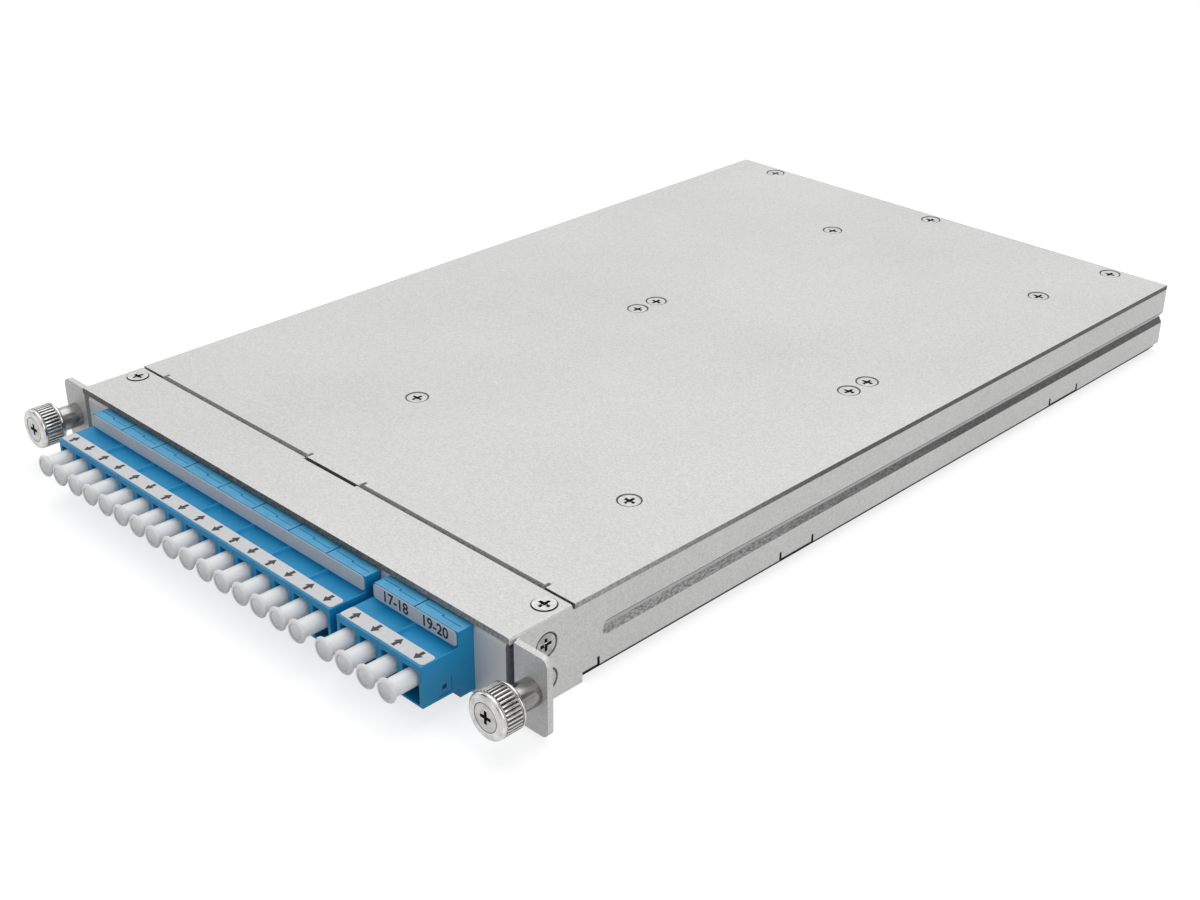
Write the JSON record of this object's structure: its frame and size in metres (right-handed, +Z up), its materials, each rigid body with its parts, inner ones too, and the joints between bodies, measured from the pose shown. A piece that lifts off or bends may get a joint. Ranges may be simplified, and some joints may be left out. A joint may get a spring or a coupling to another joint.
{
  "type": "dwdm multiplexer cassette",
  "caption": "Flat rack cassette for wavelength filters, with a row of duplex fibre adapters and dust caps on its front and captive thumbscrews on its ears.",
  "frame": {"origin": "middle of the underside of the base pan and housing", "axes": "+X to the right seen from the front, +Y from the adapters to the rear, +Z up"},
  "size_m": [0.1706, 0.2605, 0.0192],
  "materials": {
    "coated_sheet": "fine-grained silver coat",
    "panel_sheet": "satin",
    "adapter_blue": "satin moulded",
    "cap_plastic": "translucent white",
    "label_paper": "matt film",
    "ceramic": "ground",
    "plug_plastic": "moulded",
    "fibre_jacket": "smooth jacket",
    "module_case": "plain",
    "screw_steel": "bright nickel",
    "nickel": "bright nickel",
    "spring_steel": "drawn wire"
  },
  "bodies": {
    "housing": {"frame": "coated_sheet", "lid": "coated_sheet", "base_pan": "coated_sheet", "front_panel": "panel_sheet", "alignment_sleeves": "ceramic", "inner_plugs": "plug_plastic", "fibre_loom": "fibre_jacket", "loom_saddles": "plug_plastic", "filter_module_front": "module_case", "filter_module_rear": "module_case", "port_label_left": "label_paper", "port_label_right": "label_paper", "row_label_left": "label_paper", "row_label_right": "label_paper", "lid_screws": "screw_steel", "strip_screws": "screw_steel", "side_screws": "screw_steel", "base_screws": "screw_steel", "ferrule_left": "nickel", "ferrule_right": "nickel", "lc_adapter_1": "adapter_blue", "lc_adapter_2": "adapter_blue", "lc_adapter_3": "adapter_blue", "lc_adapter_4": "adapter_blue", "lc_adapter_5": "adapter_blue", "lc_adapter_6": "adapter_blue", "lc_adapter_7": "adapter_blue", "lc_adapter_8": "adapter_blue", "lc_adapter_9": "adapter_blue", "lc_adapter_10": "adapter_blue"},
    "thumbscrew_left_push": {"spring_left": "spring_steel"},
    "thumbscrew_left_turn": {"knob_left": "nickel", "thumbscrew_left": "nickel"},
    "thumbscrew_right_push": {"spring_right": "spring_steel"},
    "thumbscrew_right_turn": {"knob_right": "nickel", "thumbscrew_right": "nickel"},
    "dust_cap_1": {"dust_cap_1": "cap_plastic"},
    "dust_cap_2": {"dust_cap_2": "cap_plastic"},
    "dust_cap_3": {"dust_cap_3": "cap_plastic"},
    "dust_cap_4": {"dust_cap_4": "cap_plastic"},
    "dust_cap_5": {"dust_cap_5": "cap_plastic"},
    "dust_cap_6": {"dust_cap_6": "cap_plastic"},
    "dust_cap_7": {"dust_cap_7": "cap_plastic"},
    "dust_cap_8": {"dust_cap_8": "cap_plastic"},
    "dust_cap_9": {"dust_cap_9": "cap_plastic"},
    "dust_cap_10": {"dust_cap_10": "cap_plastic"},
    "dust_cap_11": {"dust_cap_11": "cap_plastic"},
    "dust_cap_12": {"dust_cap_12": "cap_plastic"},
    "dust_cap_13": {"dust_cap_13": "cap_plastic"},
    "dust_cap_14": {"dust_cap_14": "cap_plastic"},
    "dust_cap_15": {"dust_cap_15": "cap_plastic"},
    "dust_cap_16": {"dust_cap_16": "cap_plastic"},
    "dust_cap_17": {"dust_cap_17": "cap_plastic"},
    "dust_cap_18": {"dust_cap_18": "cap_plastic"},
    "dust_cap_19": {"dust_cap_19": "cap_plastic"},
    "dust_cap_20": {"dust_cap_20": "cap_plastic"}
  },
  "joints": [
    {"name": "thumbscrew_left_push", "type": "slide", "parent": "housing", "child": "thumbscrew_left_push", "axis": [0, 1, 0], "range_m": [0, 0.0025], "stiffness_N_per_m": 300, "springref_m": -0.0015, "deforming": ["spring_left"]},
    {"name": "thumbscrew_left_turn", "type": "hinge", "parent": "thumbscrew_left_push", "child": "thumbscrew_left_turn", "pos_m": [-0.08035, -0.12, 0.00987], "axis": [0, 1, 0], "continuous": true},
    {"name": "thumbscrew_right_push", "type": "slide", "parent": "housing", "child": "thumbscrew_right_push", "axis": [0, 1, 0], "range_m": [0, 0.0025], "stiffness_N_per_m": 300, "springref_m": -0.0015, "deforming": ["spring_right"]},
    {"name": "thumbscrew_right_turn", "type": "hinge", "parent": "thumbscrew_right_push", "child": "thumbscrew_right_turn", "pos_m": [0.08035, -0.12, 0.00987], "axis": [0, 1, 0], "continuous": true},
    {"name": "dust_cap_1_pull", "type": "slide", "parent": "housing", "child": "dust_cap_1", "axis": [0, -1, 0], "range_m": [0, 0.016]},
    {"name": "dust_cap_2_pull", "type": "slide", "parent": "housing", "child": "dust_cap_2", "axis": [0, -1, 0], "range_m": [0, 0.016]},
    {"name": "dust_cap_3_pull", "type": "slide", "parent": "housing", "child": "dust_cap_3", "axis": [0, -1, 0], "range_m": [0, 0.016]},
    {"name": "dust_cap_4_pull", "type": "slide", "parent": "housing", "child": "dust_cap_4", "axis": [0, -1, 0], "range_m": [0, 0.016]},
    {"name": "dust_cap_5_pull", "type": "slide", "parent": "housing", "child": "dust_cap_5", "axis": [0, -1, 0], "range_m": [0, 0.016]},
    {"name": "dust_cap_6_pull", "type": "slide", "parent": "housing", "child": "dust_cap_6", "axis": [0, -1, 0], "range_m": [0, 0.016]},
    {"name": "dust_cap_7_pull", "type": "slide", "parent": "housing", "child": "dust_cap_7", "axis": [0, -1, 0], "range_m": [0, 0.016]},
    {"name": "dust_cap_8_pull", "type": "slide", "parent": "housing", "child": "dust_cap_8", "axis": [0, -1, 0], "range_m": [0, 0.016]},
    {"name": "dust_cap_9_pull", "type": "slide", "parent": "housing", "child": "dust_cap_9", "axis": [0, -1, 0], "range_m": [0, 0.016]},
    {"name": "dust_cap_10_pull", "type": "slide", "parent": "housing", "child": "dust_cap_10", "axis": [0, -1, 0], "range_m": [0, 0.016]},
    {"name": "dust_cap_11_pull", "type": "slide", "parent": "housing", "child": "dust_cap_11", "axis": [0, -1, 0], "range_m": [0, 0.016]},
    {"name": "dust_cap_12_pull", "type": "slide", "parent": "housing", "child": "dust_cap_12", "axis": [0, -1, 0], "range_m": [0, 0.016]},
    {"name": "dust_cap_13_pull", "type": "slide", "parent": "housing", "child": "dust_cap_13", "axis": [0, -1, 0], "range_m": [0, 0.016]},
    {"name": "dust_cap_14_pull", "type": "slide", "parent": "housing", "child": "dust_cap_14", "axis": [0, -1, 0], "range_m": [0, 0.016]},
    {"name": "dust_cap_15_pull", "type": "slide", "parent": "housing", "child": "dust_cap_15", "axis": [0, -1, 0], "range_m": [0, 0.016]},
    {"name": "dust_cap_16_pull", "type": "slide", "parent": "housing", "child": "dust_cap_16", "axis": [0, -1, 0], "range_m": [0, 0.016]},
    {"name": "dust_cap_17_pull", "type": "slide", "parent": "housing", "child": "dust_cap_17", "axis": [0, -1, 0], "range_m": [0, 0.016]},
    {"name": "dust_cap_18_pull", "type": "slide", "parent": "housing", "child": "dust_cap_18", "axis": [0, -1, 0], "range_m": [0, 0.016]},
    {"name": "dust_cap_19_pull", "type": "slide", "parent": "housing", "child": "dust_cap_19", "axis": [0, -1, 0], "range_m": [0, 0.016]},
    {"name": "dust_cap_20_pull", "type": "slide", "parent": "housing", "child": "dust_cap_20", "axis": [0, -1, 0], "range_m": [0, 0.016]}
  ]
}
